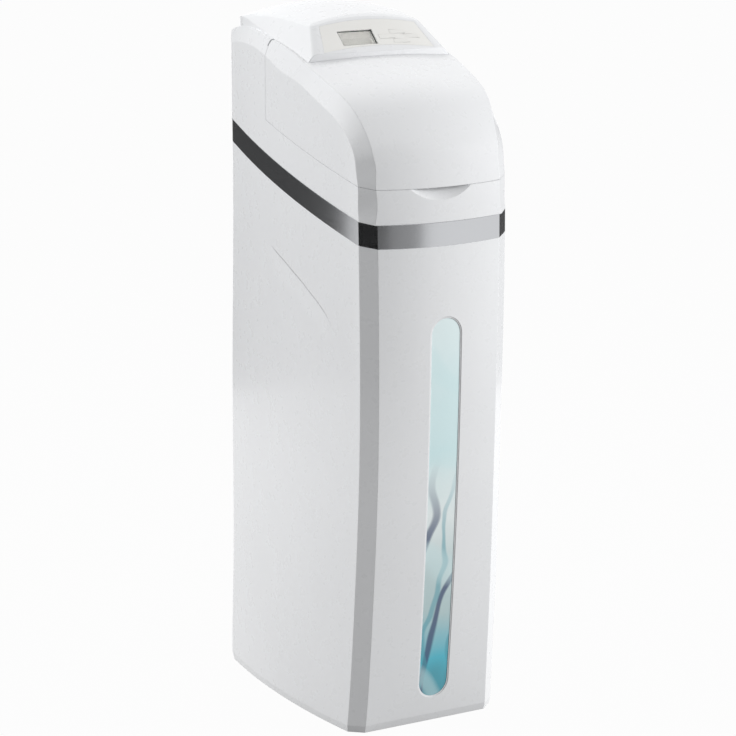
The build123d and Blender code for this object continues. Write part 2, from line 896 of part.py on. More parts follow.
def make_lower_basket():
    low = vessel_foot + vessel_wall + fixed_fit
    basket = upright(0, vessel_y, low, low + basket_height, basket_radius)
    basket = basket - upright(0, vessel_y, low + slot_width, low + basket_height, basket_bore)
    collar = upright(0, vessel_y, riser_low() - slot_width, riser_low(), basket_radius, riser_bore)
    basket = basket + collar
    for cut in slots(low + 2 * slot_width, riser_low() - 2 * slot_width, basket_radius):
        basket = basket - cut
    return basket


def make_upper_basket():
    low = vessel_top - basket_height
    basket = upright(0, vessel_y, low, vessel_top, basket_radius + 2 * slot_width, basket_radius)
    foot = upright(0, vessel_y, low, low + slot_width, basket_radius + slot_width, riser_radius + fixed_fit)
    rim = upright(0, vessel_y, vessel_top - slot_width, vessel_top, neck_radius - 2 * vessel_wall - fixed_fit,
                  basket_radius)
    basket = basket + foot + rim
    for cut in slots(low + 2 * slot_width, vessel_top - 4 * slot_width, basket_radius):
        basket = basket - cut
    return basket


def make_resin():
    fill = vessel_form(vessel_wall + surface_gap)
    fill = fill - upright(0, vessel_y, 0, resin_high, basket_radius + surface_gap)
    return fill - upright(0, vessel_y, resin_high, form_top, vessel_radius)


# Valve head

def ports():
    return (-port_x, port_x)


def make_valve_body():
    skirt_low = vessel_top - neck_height + 2 * surface_gap
    body = upright(0, vessel_y, skirt_low, vessel_top, valve_radius, neck_radius + fixed_fit)
    body = body + upright(0, vessel_y, vessel_top, valve_high, valve_radius)
    for x in ports():
        body = body + rod((x, vessel_y, port_z), (x, port_reach, port_z), port_radius)
    body = body - upright(0, vessel_y, valve_high - chamber_height, valve_high, chamber_radius)
    body = body - upright(0, vessel_y, vessel_top, valve_high - 2 * chamber_height, riser_radius + fixed_fit)
    for x in ports():
        start = vessel_y + valve_radius
        body = body - rod((x, start, port_z), (x, port_reach, port_z), port_bore)
    body = body - rod(*brine_seat(), brine_stub_radius + running_fit)
    body = body - rod(*drain_seat(), brine_stub_radius + running_fit)
    body = body - rod(*injector_seat(), injector_radius + running_fit)
    for x, y in bonnet_bolts():
        body = body - upright(x, y, valve_high - screw_length, valve_high, screw_radius / 2)
    return body


def bonnet_bolts():
    reach = (valve_radius + chamber_radius) / 2
    return [(reach * cos(radians(a)), vessel_y + reach * sin(radians(a))) for a in (0, 120, 240)]


def bridge_posts():
    reach = bridge_post_reach
    return [(reach * cos(radians(a)), vessel_y + reach * sin(radians(a))) for a in (90, 200, 340)]


def bonnet_top():
    return valve_high + bonnet_thickness


def make_bonnet():
    bonnet = upright(0, vessel_y, valve_high, bonnet_top(), valve_radius, spindle_radius + running_fit)
    for x, y in bonnet_bolts():
        bonnet = bonnet - upright(x, y, valve_high, bonnet_top(), screw_radius / 2)
    return bonnet


def make_bonnet_screws():
    screws = []
    for x, y in bonnet_bolts():
        shank = upright(x, y, bonnet_top() - screw_length, bonnet_top(), screw_radius / 2 - running_fit)
        screws.append(shank + upright(x, y, bonnet_top(), bonnet_top() + screw_radius / 2, screw_radius))
    return Compound(screws)


def rotor_low():
    return valve_high - chamber_height + surface_gap


def gear_low():
    return bonnet_top() + 2 * screw_radius


def make_rotor():
    disc = upright(0, vessel_y, rotor_low(), rotor_low() + rotor_thickness, rotor_radius)
    for x in (-rotor_radius / 2, rotor_radius / 2):
        disc = disc - upright(x, vessel_y, rotor_low(), rotor_low() + rotor_thickness, spindle_radius)
    spindle = upright(0, vessel_y, rotor_low(), gear_low() + gear_thickness, spindle_radius)
    return disc + spindle


def involute_gear(teeth, thickness, bore):
    """A spur gear whose flanks follow the involute of its base circle."""
    pitch = gear_module * teeth / 2
    base = pitch * cos(radians(pressure_angle))
    tip = pitch + gear_module
    root = pitch - dedendum_share * gear_module
    lean = tan(radians(pressure_angle)) - radians(pressure_angle)
    half_tooth = (pi * gear_module / 2 - gear_backlash) / (2 * pitch)
    start = max(root, base)
    flank = []
    for share in shares(4):
        radius = start + (tip - start) * share
        roll = sqrt(max(0.0, (radius / base) ** 2 - 1))
        flank.append((radius, half_tooth + lean - (roll - atan(roll))))
    points = []
    for tooth in range(teeth):
        middle = 2 * pi * tooth / teeth
        if root < base:
            points.append((root, middle - flank[0][1]))
        points.extend((radius, middle - angle) for radius, angle in flank)
        points.extend((radius, middle + angle) for radius, angle in reversed(flank))
        if root < base:
            points.append((root, middle + flank[0][1]))
    outline = Polyline([(radius * cos(angle), radius * sin(angle)) for radius, angle in points], close=True)
    return extrude(make_face(outline), amount=thickness) - extrude(Circle(bore), amount=thickness)


def pinion_y():
    return vessel_y - gear_module * (gear_teeth + pinion_teeth) / 2 - gear_backlash


def make_gear():
    gear = involute_gear(gear_teeth, gear_thickness, spindle_radius)
    ring_mid = (gear_module * gear_teeth / 2 + spindle_radius) / 2
    for index in range(gear_holes):
        place = Rot(0, 0, index * 360 / gear_holes) * Pos(ring_mid, 0, 0)
        gear = gear - place * extrude(Circle(spindle_radius), amount=gear_thickness)
    return Pos(0, vessel_y, gear_low()) * gear


def bridge_low():
    return gear_low() + gear_thickness + 2 * screw_radius


def make_pinion():
    turn = 0 if pinion_teeth % 2 else 180 / pinion_teeth
    teeth = involute_gear(pinion_teeth, gear_thickness, motor_shaft_radius / 2) + \
        extrude(Circle(motor_shaft_radius), amount=gear_thickness)
    pinion = Pos(0, pinion_y(), gear_low()) * Rot(0, 0, 90 + turn) * teeth
    return pinion + upright(0, pinion_y(), gear_low(), bridge_low() + motor_height / 2, motor_shaft_radius)


def make_bridge():
    low = bridge_low()
    plate = upright(0, vessel_y, low, low + bridge_thickness, valve_radius)
    nose_low = pinion_y() - motor_radius
    bridge = plate + block(-motor_radius, motor_radius, nose_low, vessel_y, low, low + bridge_thickness)
    for x, y in bridge_posts():
        bridge = bridge + upright(x, y, bonnet_top(), low, post_radius)
    return bridge - upright(0, pinion_y(), low, low + bridge_thickness, 2 * motor_shaft_radius)


def make_motor():
    low = bridge_low() + bridge_thickness
    motor = upright(0, pinion_y(), low, low + motor_height, motor_radius)
    ears = block(-motor_radius - 2 * post_radius, motor_radius + 2 * post_radius, pinion_y() - post_radius,
                 pinion_y() + post_radius, low, low + screw_radius)
    ears = ears & block(-motor_radius, motor_radius, -form_top, form_top, 0, form_top)
    return motor + ears - upright(0, pinion_y(), low, low + motor_height, motor_shaft_radius + running_fit)


# Small fittings on the valve

def wall_y(x):
    return vessel_y - sqrt(valve_radius ** 2 - x ** 2)


def brine_seat():
    x = brine_fitting_x
    y = wall_y(x)
    return (x, y - seat_depth, brine_fitting_z), (x, y + seat_depth, brine_fitting_z)


def drain_seat():
    y = vessel_y + valve_radius
    return (0, y + seat_depth, drain_seat_z), (0, y - seat_depth, drain_seat_z)


def injector_seat():
    x = valve_radius
    return (x + seat_depth, vessel_y, injector_z), (x - seat_depth, vessel_y, injector_z)


def make_brine_fitting():
    start, end = brine_seat()
    fitting = rod(start, (end[0], end[1] - fixed_fit, end[2]), brine_stub_radius)
    nut = rod(start, (start[0], start[1] + brine_nut_length, start[2]), brine_stub_radius + 2 * hose_bore)
    return fitting + nut - rod(start, (end[0], end[1] - fixed_fit, end[2]), hose_bore) \
        - rod(start, (start[0], start[1] + seat_depth / 2, start[2]), hose_radius + running_fit)


def make_drain_fitting():
    start, end = drain_seat()
    inner = (0, end[1] + fixed_fit, drain_seat_z)
    corner = (0, drain_riser_y, drain_seat_z)
    bend = (0, drain_riser_y, drain_barb_z)
    neck = (0, drain_riser_y + brine_stub_radius + 2 * barb_shoulder, drain_barb_z)
    tip = (0, neck[1] + drain_barb_length, drain_barb_z)
    wide = brine_stub_radius + barb_shoulder
    fitting = rod(inner, corner, brine_stub_radius) + rod(corner, bend, wide) + rod(bend, neck, wide)
    for joint in (corner, bend):
        fitting = fitting + Pos(*joint) * Sphere(wide)
    fitting = fitting + rod(bend, tip, brine_stub_radius)
    fitting = fitting - rod(inner, corner, hose_bore) - rod(corner, bend, hose_bore)
    return fitting - rod(bend, tip, hose_bore)


def make_injector_cap():
    start, end = injector_seat()
    cap = rod(start, (start[0] - seat_depth / 2, start[1], start[2]), injector_radius + 2 * hose_bore)
    return cap + rod(start, (end[0] + fixed_fit, end[1], end[2]), injector_radius)


def turbine_y():
    return vessel_y + valve_radius + 2 * turbine_length


def along_port(y0, y1, radius):
    return rod((-port_x, y0, port_z), (-port_x, y1, port_z), radius)


def make_turbine():
    y0 = turbine_y()
    y1 = y0 + turbine_length
    turbine = along_port(y0, y1, turbine_hub_radius)
    for index in range(turbine_blades):
        blade = block(0, turbine_radius, -y1, -y0, -motor_shaft_radius / 4, motor_shaft_radius / 4)
        blade = Rot(0, index * 360 / turbine_blades, 0) * mirror(blade, Plane.XZ)
        turbine = turbine + Pos(-port_x, 0, port_z) * blade
    return turbine - along_port(y0, y1, turbine_pin_radius + running_fit)


def make_turbine_cage():
    gap = surface_gap
    y0 = turbine_y() - gap - screw_radius
    y1 = turbine_y() + turbine_length + gap + screw_radius
    cage = along_port(y0, y1, port_bore - running_fit) - along_port(y0, y1, turbine_radius + 2 * gap)
    for start in (y0, y1 - screw_radius):
        end = start + screw_radius
        bar = block(-port_x - turbine_radius - 2 * gap, -port_x + turbine_radius + 2 * gap, start, end,
                    port_z - screw_radius / 2, port_z + screw_radius / 2)
        cage = cage + bar + along_port(start, end, turbine_hub_radius)
    return cage - along_port(y0, y1, turbine_pin_radius)


def make_turbine_pin():
    y0 = turbine_y() - surface_gap - screw_radius
    y1 = turbine_y() + turbine_length + surface_gap + screw_radius
    return along_port(y0, y1, turbine_pin_radius - running_fit / 2)


# Bypass

def knob_y():
    return bypass_block_y + bypass_block_depth - knob_radius + screw_radius


def block_top():
    return port_z + bypass_block_height / 2


def make_bypass():
    y1 = bypass_block_y + bypass_block_depth
    outline = Plane(origin=(0, bypass_block_y, port_z), x_dir=(1, 0, 0), z_dir=(0, 1, 0))
    section = RectangleRounded(bypass_block_width, bypass_block_height, plug_radius)
    body = extrude(outline * section, amount=bypass_block_depth)
    for x in ports():
        body = body + rod((x, y1, port_z), (x, y1 + stub_length, port_z), stub_radius)
    for x in ports():
        body = body - rod((x, bypass_block_y, port_z), (x, y1 + stub_length, port_z), bypass_bore)
        seat_end = (x, port_reach + fixed_fit, port_z)
        body = body - rod((x, bypass_block_y, port_z), seat_end, port_radius + fixed_fit)
        body = body - upright(x, knob_y(), port_z - port_radius, block_top(), plug_radius + running_fit)
    cross = rod((-port_x, knob_y(), port_z), (port_x, knob_y(), port_z), plug_radius - screw_radius)
    return body - cross


def make_knob(x):
    low = port_z - port_radius + surface_gap
    plug = upright(x, knob_y(), low, block_top() + surface_gap, plug_radius)
    way_start = (x, knob_y() - 2 * plug_radius, port_z)
    way_end = (x, knob_y() + 2 * plug_radius, port_z)
    plug = plug - rod(way_start, way_end, plug_radius - screw_radius)
    base = block_top() + surface_gap
    disc = upright(x, knob_y(), base, base + knob_height / 3, knob_radius)
    bar = block(x - knob_radius / 3, x + knob_radius / 3, knob_y() - knob_radius, knob_y() + knob_radius,
                base, base + knob_height)
    return plug + disc + (bar & upright(x, knob_y(), base, base + knob_height, knob_radius))


def make_clips():
    clips = []
    for x in ports():
        y0 = bypass_block_y - clip_width - surface_gap
        y1 = bypass_block_y - surface_gap
        clip = ring((x, y0, port_z), (x, y1, port_z), port_radius + clip_thickness, port_radius + running_fit)
        mouth = block(x - port_radius / 2, x + port_radius / 2, y0, y1, port_z - 2 * port_radius, port_z)
        clips.append(clip - mouth)
    return Compound(clips)


# Brine well

def make_well():
    well = upright(well_x, well_y, floor_thickness, well_high, well_radius, well_radius - well_wall)
    for index in range(well_slot_count):
        cut = block(0, 2 * well_radius, -well_slot_width / 2, well_slot_width / 2,
                    floor_thickness + well_slot_width, floor_thickness + well_slot_height)
        well = well - Pos(well_x, well_y, 0) * Rot(0, 0, (index + 0.5) * 360 / well_slot_count) * cut
    hole = rod(well_port(), (well_x, well_y + 2 * well_radius, hose_z()), hose_radius + fixed_fit)
    return well - hole


def hose_z():
    return valve_can_high - valve_can_radius


def well_port():
    return (well_x, well_y, hose_z())


def make_well_cap():
    top = well_high + surface_gap
    outer = well_radius + surface_gap + well_wall
    cap = upright(well_x, well_y, top - well_cap_skirt, top + well_wall, outer)
    cap = cap - upright(well_x, well_y, top - well_cap_skirt, top, well_radius + surface_gap)
    handle = block(well_x - well_radius / 2, well_x + well_radius / 2, well_y - well_wall, well_y + well_wall,
                   top + well_wall, top + well_cap_skirt)
    return cap + handle


def can_low():
    return valve_can_high - valve_can_height


def make_brine_valve():
    can = upright(well_x, well_y, can_low(), valve_can_high, valve_can_radius)
    spacer_half = well_radius - well_wall - surface_gap
    arms = block(well_x - spacer_half, well_x + spacer_half, well_y - well_wall, well_y + well_wall,
                 can_low(), can_low() + 2 * well_wall)
    arms = arms + block(well_x - well_wall, well_x + well_wall, well_y - spacer_half, well_y + spacer_half,
                        can_low(), can_low() + 2 * well_wall)
    arms = arms & upright(well_x, well_y, 0, form_top, spacer_half)
    outlet_end = (well_x, well_y + valve_can_radius + seat_depth, hose_z())
    outlet = rod(well_port(), outlet_end, hose_radius + hose_bore)
    body = can + arms + outlet
    seat = (well_x, well_y + valve_can_radius, hose_z())
    body = body - rod(seat, outlet_end, hose_radius + running_fit)
    return body - upright(well_x, well_y, can_low(), can_low() + valve_can_radius, rod_radius + fixed_fit)


def make_float_rod():
    return upright(well_x, well_y, pickup_top(), can_low() + valve_can_radius - fixed_fit, rod_radius)


def pickup_top():
    return floor_thickness + pickup_height


def make_pickup():
    low = floor_thickness + surface_gap
    pickup = upright(well_x, well_y, low, pickup_top() + rod_radius, pickup_radius)
    pickup = pickup - upright(well_x, well_y, pickup_top(), pickup_top() + rod_radius, rod_radius + fixed_fit)
    for index in range(4):
        cut = block(pickup_radius / 2, 2 * pickup_radius, -slot_width / 2, slot_width / 2, low + slot_width,
                    pickup_top() - slot_width)
        pickup = pickup - Pos(well_x, well_y, 0) * Rot(0, 0, index * 90) * cut
    return pickup


def make_float():
    high = float_low + float_height
    return upright(well_x, well_y, float_low, high, float_radius, rod_radius + running_fit)


def make_float_stops():
    stops = []
    for z0 in (float_low - well_wall - surface_gap, float_low + float_height + float_travel + surface_gap):
        stops.append(upright(well_x, well_y, z0, z0 + well_wall, stop_radius, rod_radius + running_fit / 2))
    return Compound(stops)


def hose_points():
    start_y = well_y + valve_can_radius
    end_y = wall_y(brine_fitting_x) - seat_depth / 2
    low_across, high_across = hose_across_shares
    return [
        (well_x, start_y + running_fit, hose_z()),
        (well_x, start_y + hose_start_run, hose_z()),
        (low_across * well_x, start_y + hose_middle_run, hose_z() + hose_middle_rise),
        (high_across * well_x, end_y - hose_middle_run, brine_fitting_z - hose_end_run),
        (brine_fitting_x, end_y - hose_end_run, brine_fitting_z),
        (brine_fitting_x, end_y - fixed_fit, brine_fitting_z),
    ]


def make_hose():
    points = hose_points()
    path = FilletPolyline(*points, radius=hose_bend)
    start = Plane(origin=points[0], z_dir=path % 0)
    return sweep(start * Circle(hose_radius), path=path)


def make_platform():
    high = platform_z + platform_thickness
    area = block(-form_top, form_top, -form_top, mouth_rear_y + 2 * port_x, platform_z, high)
    plate = form(wall + 3 * surface_gap) & area
    corner_x = waist_half_width - 2 * platform_leg_radius - facet_width
    for x in (-corner_x, corner_x):
        for y in (mouth_front_y + facet_depth, mouth_rear_y + port_x):
            plate = plate + upright(x, y, floor_thickness, platform_z, platform_leg_radius)
    plate = plate - upright(0, vessel_y, 0, form_top, vessel_radius + well_wall)
    plate = plate - upright(well_x, well_y, 0, form_top, well_radius + surface_gap)
    plate = plate - strip_prism(wall + surface_gap)
    holes = []
    for row in range(platform_rows):
        for column in range(platform_columns):
            x = (column - (platform_columns - 1) / 2) * platform_pitch
            y = mouth_front_y + (row + platform_start_share) * platform_pitch
            near_well = hypot(x - well_x, y - well_y) < well_radius + platform_clear_share * platform_hole
            near_leg = abs(x) > corner_x - platform_pitch / 2 and row == 0
            if not near_well and not near_leg:
                holes.append(upright(x, y, platform_z, high, platform_hole / 2))
    return plate - holes


# Fittings through the rear wall

def make_overflow():
    inner = (overflow_x, rear_reach - wall - 3 * screw_radius, overflow_z)
    corner = (overflow_x, rear_reach + 2 * overflow_radius, overflow_z)
    neck = (overflow_x, corner[1], overflow_z - overflow_radius - 2 * barb_shoulder)
    tip = (overflow_x, corner[1], neck[2] - overflow_barb_length)
    wide = overflow_radius + barb_shoulder
    flange_start = (overflow_x, rear_reach + surface_gap, overflow_z)
    flange_end = (overflow_x, rear_reach + 2 * screw_radius, overflow_z)
    body = rod(inner, corner, overflow_radius) + rod(flange_end, corner, wide) + rod(corner, neck, wide)
    body = body + Pos(*corner) * Sphere(wide) + rod(corner, tip, overflow_radius)
    body = body + rod(flange_start, flange_end, overflow_nut_radius)
    return body - rod(inner, corner, hose_bore) - rod(corner, tip, hose_bore)


def make_overflow_nut():
    y = rear_reach - wall - fixed_fit
    plane = Plane(origin=(overflow_x, y, overflow_z), x_dir=(1, 0, 0), z_dir=(0, -1, 0))
    nut = extrude(plane * RegularPolygon(overflow_nut_radius, 6), amount=2 * screw_radius)
    end = (overflow_x, y - 4 * screw_radius, overflow_z)
    return nut - rod((overflow_x, y, overflow_z), end, overflow_radius + running_fit)


def make_jack():
    y = rear_reach
    barrel = rod((jack_x, y - 4 * wall, jack_z), (jack_x, y, jack_z), jack_radius - fixed_fit)
    face = (jack_x, y + screw_radius, jack_z)
    collar = rod((jack_x, y, jack_z), face, jack_flange_radius)
    return barrel + collar - rod((jack_x, y - 3 * wall, jack_z), face, jack_radius / 2)


os.makedirs("parts", exist_ok=True)
outside = crown_form() + hump_form()
inside = crown_form(lid_wall) + hump_form(lid_wall)
middle = crown_form(lid_wall / 2) + hump_form(lid_wall / 2)
overflow_end = (overflow_x, 2 * rear_reach, overflow_z)
cabinet = make_cabinet() - rod((overflow_x, 0, overflow_z), overflow_end, overflow_radius + running_fit)
band = make_band()
for x in (-screw_x, screw_x):
    cabinet = cabinet - screw_hole(x)
    band = band - screw_hole(x)
places = button_places()
pieces = {
    "cabinet_body": cabinet,
    "front_strip": make_strip(),
    "trim_band": band,
    "top_cover": make_cover(outside, inside, middle),
    "salt_lid": make_lid(outside, inside, middle),
    "lid_hinge_pins": make_hinge_pins(),
    "cover_screws": make_cover_screws(),
    "control_panel": make_panel(),
    "display_lens": make_lens(),
    "display_module": make_display(),
    "circuit_board": make_board(),
    "board_screws": make_board_screws(),
    "pressure_vessel": make_vessel(),
    "vessel_boot": make_boot(),
    "riser_tube": make_riser(),
    "lower_basket": make_lower_basket(),
    "upper_basket": make_upper_basket(),
    "resin_bed": make_resin(),
    "valve_body": make_valve_body(),
    "valve_bonnet": make_bonnet(),
    "bonnet_screws": make_bonnet_screws(),
    "valve_rotor": make_rotor(),
    "drive_gear": make_gear(),
    "motor_pinion": make_pinion(),
    "motor_bridge": make_bridge(),
    "drive_motor": make_motor(),
    "brine_fitting": make_brine_fitting(),
    "drain_fitting": make_drain_fitting(),
    "injector_cap": make_injector_cap(),
    "flow_turbine": make_turbine(),
    "turbine_cage": make_turbine_cage(),
    "turbine_pin": make_turbine_pin(),
    "bypass_body": make_bypass(),
    "bypass_clips": make_clips(),
    "bypass_knob_outlet": make_knob(-port_x),
    "bypass_knob_inlet": make_knob(port_x),
    "brine_well": make_well(),
    "brine_well_cap": make_well_cap(),
    "brine_valve": make_brine_valve(),
    "float_rod": make_float_rod(),
    "brine_float": make_float(),
    "float_stops": make_float_stops(),
    "brine_pickup": make_pickup(),
    "brine_line": make_hose(),
    "salt_platform": make_platform(),
    "overflow_elbow": make_overflow(),
    "overflow_nut": make_overflow_nut(),
    "power_jack": make_jack(),
}
for place, (x, up) in places.items():
    pieces[f"button_{place}"] = make_button(x, up)
for name, piece in pieces.items():
    save(name, piece)
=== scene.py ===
"""The looks of a cabinet water softener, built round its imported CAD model."""

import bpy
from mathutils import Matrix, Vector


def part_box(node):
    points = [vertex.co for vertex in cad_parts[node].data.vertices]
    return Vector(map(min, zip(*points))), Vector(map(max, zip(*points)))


bl_info = {
    "name": "Water Softener Looks",
    "version": (1, 0, 0),
    "blender": (4, 5, 0),
    "location": "View3D > Sidebar > Softener",
    "description": "Finishes, small parts, lamps and camera of a cabinet water softener",
    "category": "Object",
}

import math

import bmesh
import bpy
from bpy.props import FloatProperty, FloatVectorProperty, PointerProperty
from mathutils import Vector

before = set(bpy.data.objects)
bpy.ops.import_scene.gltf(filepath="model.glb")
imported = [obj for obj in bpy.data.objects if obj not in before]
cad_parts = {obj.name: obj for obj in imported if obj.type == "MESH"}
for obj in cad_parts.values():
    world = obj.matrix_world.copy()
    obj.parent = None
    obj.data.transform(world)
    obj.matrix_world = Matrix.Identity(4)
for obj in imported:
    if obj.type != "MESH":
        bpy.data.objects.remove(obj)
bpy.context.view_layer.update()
MM = 0.001


# Sizes and colours that a user would change

class SoftenerColours(bpy.types.PropertyGroup):
    """Colours of the finishes, as linear light."""

    shell: FloatVectorProperty(
        name="Shell", description="Moulded white of the cabinet, cover and lid",
        subtype="COLOR", size=3, default=(0.84, 0.85, 0.865), min=0, max=1)
    panel: FloatVectorProperty(
        name="Panel", description="Warm white of the control panel and its buttons",
        subtype="COLOR", size=3, default=(0.87, 0.865, 0.84), min=0, max=1)
    metal: FloatVectorProperty(
        name="Trim metal", description="Bright metal of the trim band",
        subtype="COLOR", size=3, default=(0.60, 0.61, 0.63), min=0, max=1)
    aqua: FloatVectorProperty(
        name="Pale aqua", description="Lightest colour of the front strip",
        subtype="COLOR", size=3, default=(0.66, 0.87, 0.89), min=0, max=1)
    teal: FloatVectorProperty(
        name="Teal", description="Middle colour of the front strip",
        subtype="COLOR", size=3, default=(0.04, 0.33, 0.42), min=0, max=1)
    navy: FloatVectorProperty(
        name="Navy", description="Darkest colour of the front strip",
        subtype="COLOR", size=3, default=(0.006, 0.035, 0.14), min=0, max=1)


class SoftenerSizes(bpy.types.PropertyGroup):
    """Sizes of the finishes and of the stage."""

    grain: FloatProperty(
        name="Grain", description="Depth of the moulded skin's grain",
        default=0.003 * MM, min=0, unit="LENGTH")
    shell_edge: FloatProperty(
        name="Shell edge", description="Rounding of the shells' edges",
        default=1.8 * MM, min=0, unit="LENGTH")
    floor: FloatProperty(
        name="Floor", description="Half the side of the studio floor",
        default=30.0, min=1, unit="LENGTH")
    screen: FloatProperty(
        name="Screens", description="Distance of the screens that the metal reflects",
        default=2.2, min=1, unit="LENGTH")


def colours():
    return bpy.context.scene.softener_colours


def sizes():
    return bpy.context.scene.softener_sizes


# Surfaces: noise scales count spots along a metre

COAT_ROUGHNESS = 0.1
GRAIN_SCALE = 900.0
GLOSS_SCALE = 60.0
TINT_SCALE = 6.0
PLASTIC_TINTS = (0.97, 1.015)
PLASTIC_GLOSS = (0.88, 1.12)
PLASTIC_EDGE = 0.6 * MM
METAL_GLOSS = (0.8, 1.25)
METAL_LINES = (1, 1, 60)
METAL_LINE_SCALE = 40.0
METAL_LINE_DEPTH = 0.02 * MM
METAL_EDGE = 0.5 * MM
EDGE_SAMPLES = 6


# Shader building

def new_material(name, colour, roughness, metallic=0.0, coat=0.0):
    """A Principled material with its even values set on the shader itself."""
    material = bpy.data.materials.new(name)
    material.use_nodes = True
    shader = material.node_tree.nodes["Principled BSDF"]
    shader.inputs["Base Color"].default_value = (*colour, 1)
    shader.inputs["Roughness"].default_value = roughness
    shader.inputs["Metallic"].default_value = metallic
    shader.inputs["Coat Weight"].default_value = coat
    shader.inputs["Coat Roughness"].default_value = COAT_ROUGHNESS
    return material, shader


def add(material, kind, **settings):
    """A new node, whose settings go to its sockets or else to its own properties."""
    node = material.node_tree.nodes.new(kind)
    for key, value in settings.items():
        if key in node.inputs:
            node.inputs[key].default_value = value
        else:
            setattr(node, key, value)
    return node


def join(material, source, out, target, into):
    material.node_tree.links.new(source.outputs[out], target.inputs[into])


def link(material, value, socket):
    material.node_tree.links.new(value, socket)


def object_point(material):
    return add(material, "ShaderNodeTexCoord")


def noise_over(material, scale, detail=3.0):
    noise = add(material, "ShaderNodeTexNoise", Scale=scale, Detail=detail)
    join(material, object_point(material), "Object", noise, "Vector")
    return noise


def vary_colour(material, shader, noise, low, high):
    """Let the base colour drift between two tints with a noise."""
    ramp = add(material, "ShaderNodeValToRGB")
    ramp.color_ramp.elements[0].position = 0.3
    ramp.color_ramp.elements[0].color = (*low, 1)
    ramp.color_ramp.elements[1].position = 0.7
    ramp.color_ramp.elements[1].color = (*high, 1)
    join(material, noise, "Fac", ramp, "Fac")
    join(material, ramp, "Color", shader, "Base Color")


def vary_roughness(material, shader, noise, low, high):
    """Let the roughness drift between two values with a noise."""
    span = add(material, "ShaderNodeMapRange")
    span.inputs["To Min"].default_value = low
    span.inputs["To Max"].default_value = high
    join(material, noise, "Fac", span, "Value")
    join(material, span, "Result", shader, "Roughness")


def bump_of(material, shader, height, strength, depth):
    """A bump on the shader from a height socket."""
    bump = add(material, "ShaderNodeBump", Strength=strength, Distance=depth)
    link(material, height, bump.inputs["Height"])
    join(material, bump, "Normal", shader, "Normal")
    return bump


def grain_bump(material, shader, scale, depth):
    """The fine grain of a moulded or printed skin."""
    return bump_of(material, shader, noise_over(material, scale, 2.0).outputs["Fac"], 1.0, depth)


def soften_edges(material, bump, radius):
    """Shade edges as if rounded by a radius, as moulded and pressed edges are."""
    round_edge = add(material, "ShaderNodeBevel", Radius=radius, samples=EDGE_SAMPLES)
    join(material, round_edge, "Normal", bump, "Normal")


def calculate(material, operation, first, second=None, third=None):
    """One step of arithmetic on sockets and numbers."""
    node = add(material, "ShaderNodeMath", operation=operation)
    for index, value in enumerate((first, second, third)):
        if isinstance(value, (int, float)):
            node.inputs[index].default_value = value
        elif value is not None:
            link(material, value, node.inputs[index])
    return node.outputs[0]


def product(material, first, *others):
    """The product of sockets and numbers."""
    for other in others:
        first = calculate(material, "MULTIPLY", first, other)
    return first


def smooth_step(material, value, start, end):
    """Nought before start, one after end, eased between."""
    node = add(material, "ShaderNodeMapRange", interpolation_type="SMOOTHSTEP")
    node.inputs["From Min"].default_value = start
    node.inputs["From Max"].default_value = end
    link(material, value, node.inputs["Value"])
    return node.outputs["Result"]


def object_axes(material):
    """The X, Y and Z sockets of the place on the object, in metres."""
    split = add(material, "ShaderNodeSeparateXYZ")
    join(material, object_point(material), "Object", split, "Vector")
    return split.outputs["X"], split.outputs["Y"], split.outputs["Z"]


# Places of the colour sockets among all the sockets of a Mix node
MIX_FIRST = 6
MIX_SECOND = 7
MIX_RESULT = 2


def lay_over(material, share, under, colour):
    """A plain colour laid over a colour socket by a share socket."""
    node = add(material, "ShaderNodeMix", data_type="RGBA")
    node.inputs[MIX_SECOND].default_value = (*colour, 1)
    link(material, share, node.inputs[0])
    link(material, under, node.inputs[MIX_FIRST])
    return node.outputs[MIX_RESULT]


def tinted(colour, factor):
    return tuple(min(1.0, channel * factor) for channel in colour)


def moulded(name, colour, roughness, coat=0.0):
    """Moulded plastic: a faint drift of tint and gloss over a fine grain, with softened edges."""
    material, shader = new_material(name, colour, roughness, coat=coat)
    tints = [tinted(colour, factor) for factor in PLASTIC_TINTS]
    vary_colour(material, shader, noise_over(material, TINT_SCALE), *tints)
    span = [roughness * factor for factor in PLASTIC_GLOSS]
    vary_roughness(material, shader, noise_over(material, GLOSS_SCALE), *span)
    soften_edges(material, grain_bump(material, shader, GRAIN_SCALE, sizes().grain), PLASTIC_EDGE)
    return material


def brushed(name, colour, roughness):
    """Metal with fine drawn lines round it."""
    material, shader = new_material(name, colour, roughness, metallic=1.0)
    stretch = add(material, "ShaderNodeMapping", Scale=METAL_LINES)
    noise = add(material, "ShaderNodeTexNoise", Scale=METAL_LINE_SCALE, Detail=4.0)
    join(material, object_point(material), "Object", stretch, "Vector")
    join(material, stretch, "Vector", noise, "Vector")
    span = [roughness * factor for factor in METAL_GLOSS]
    vary_roughness(material, shader, noise, *span)
    bump = bump_of(material, shader, noise.outputs["Fac"], 0.25, METAL_LINE_DEPTH)
    soften_edges(material, bump, METAL_EDGE)
    return material


def finish_nodes(material, *names):
    """Give CAD nodes a material of their own."""
    for name in names:
        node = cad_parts[name]
        node.data.materials.clear()
        node.data.materials.append(material)


# Shells

SHELL_ROUGHNESS = 0.28
SHELL_GLOSS = (0.25, 0.31)
SHELL_COAT = 0.35
SHELL_TINTS = (0.985, 1.01)
SHELL_TINT_SCALE = 5.0

